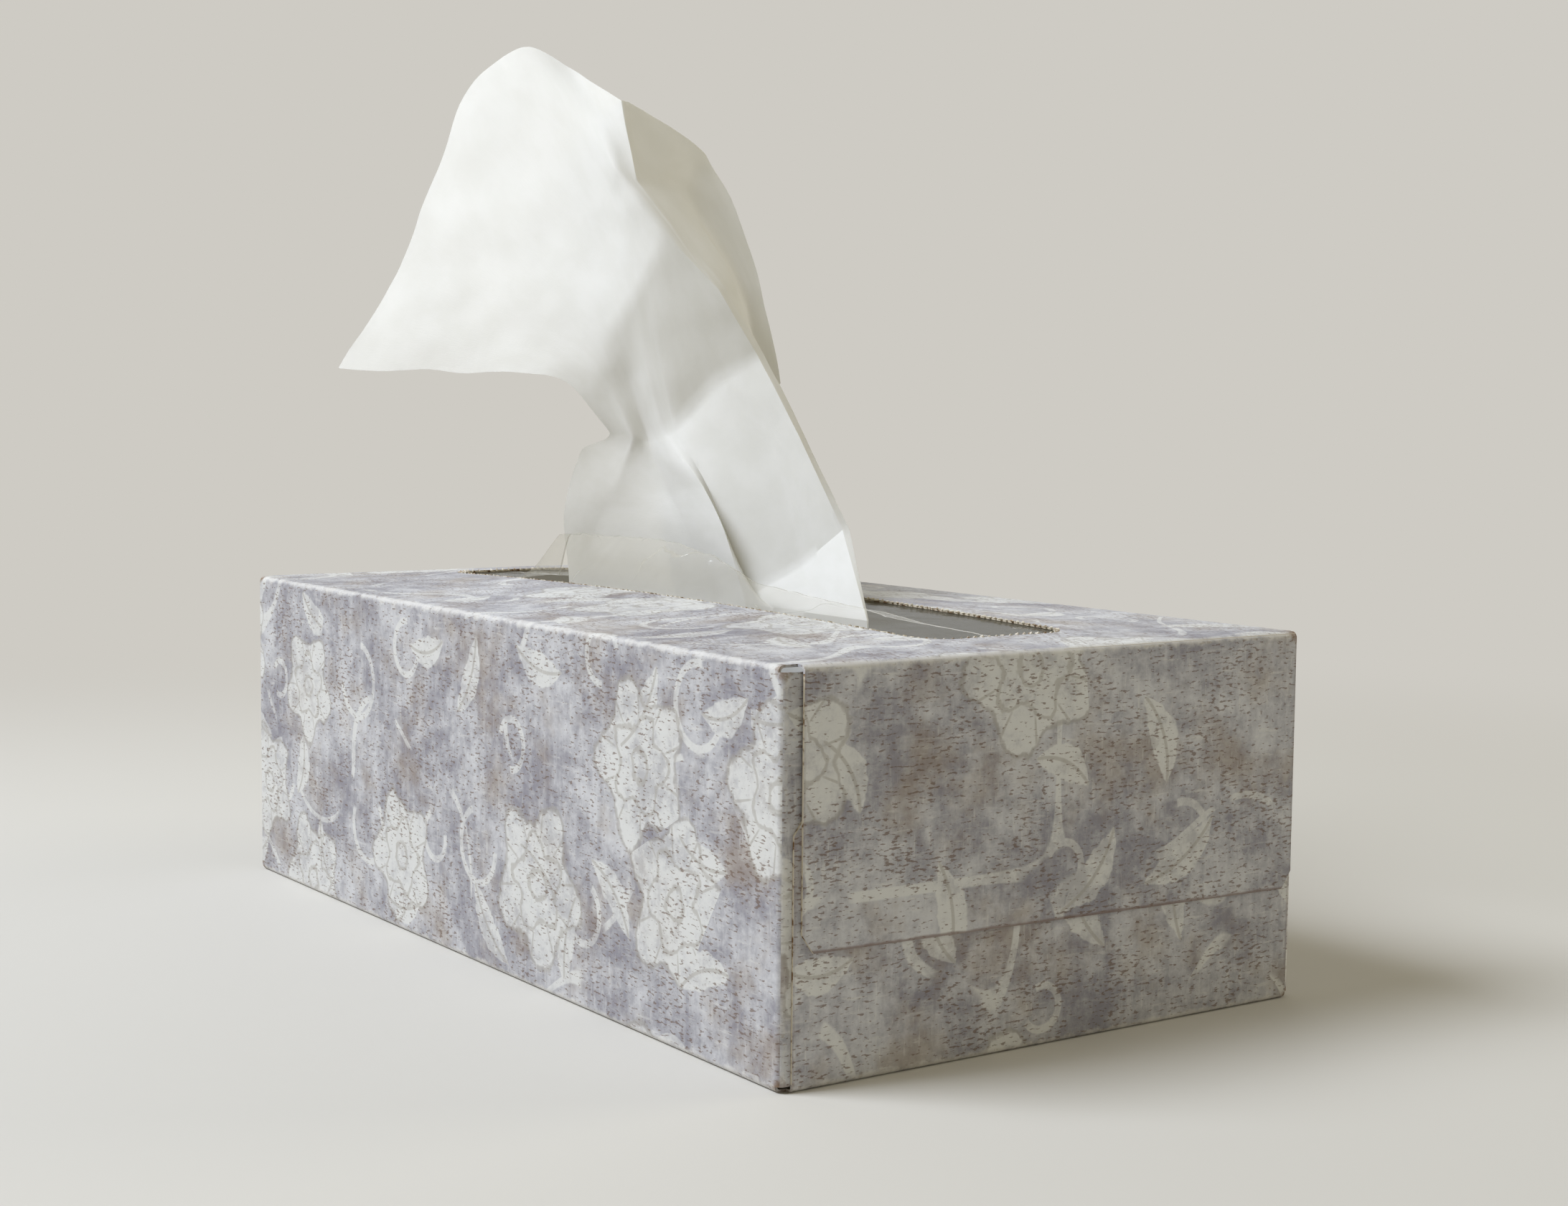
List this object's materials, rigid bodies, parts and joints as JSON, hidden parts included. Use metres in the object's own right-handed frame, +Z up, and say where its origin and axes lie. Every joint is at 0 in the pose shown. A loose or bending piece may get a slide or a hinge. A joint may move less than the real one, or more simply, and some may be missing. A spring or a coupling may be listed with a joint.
{
  "type": "tissue box",
  "caption": "Flat paperboard box of facial tissues with glued end flaps, a film window slit along the top, the stack inside and a folded tissue standing in the slit.",
  "frame": {"origin": "centre of the carton's bottom, on the surface that it stands on", "axes": "+X along the carton's length, +Y across its width towards the rear side, +Z up"},
  "size_m": [0.23, 0.123, 0.2016],
  "materials": {
    "printed_board": "satin",
    "clear_film": "gloss",
    "tissue_paper": "matte"
  },
  "bodies": {
    "root": {"carton": "printed_board", "film_window": "clear_film", "popup_tissue": "tissue_paper", "tissue_stack": "tissue_paper"}
  },
  "joints": []
}
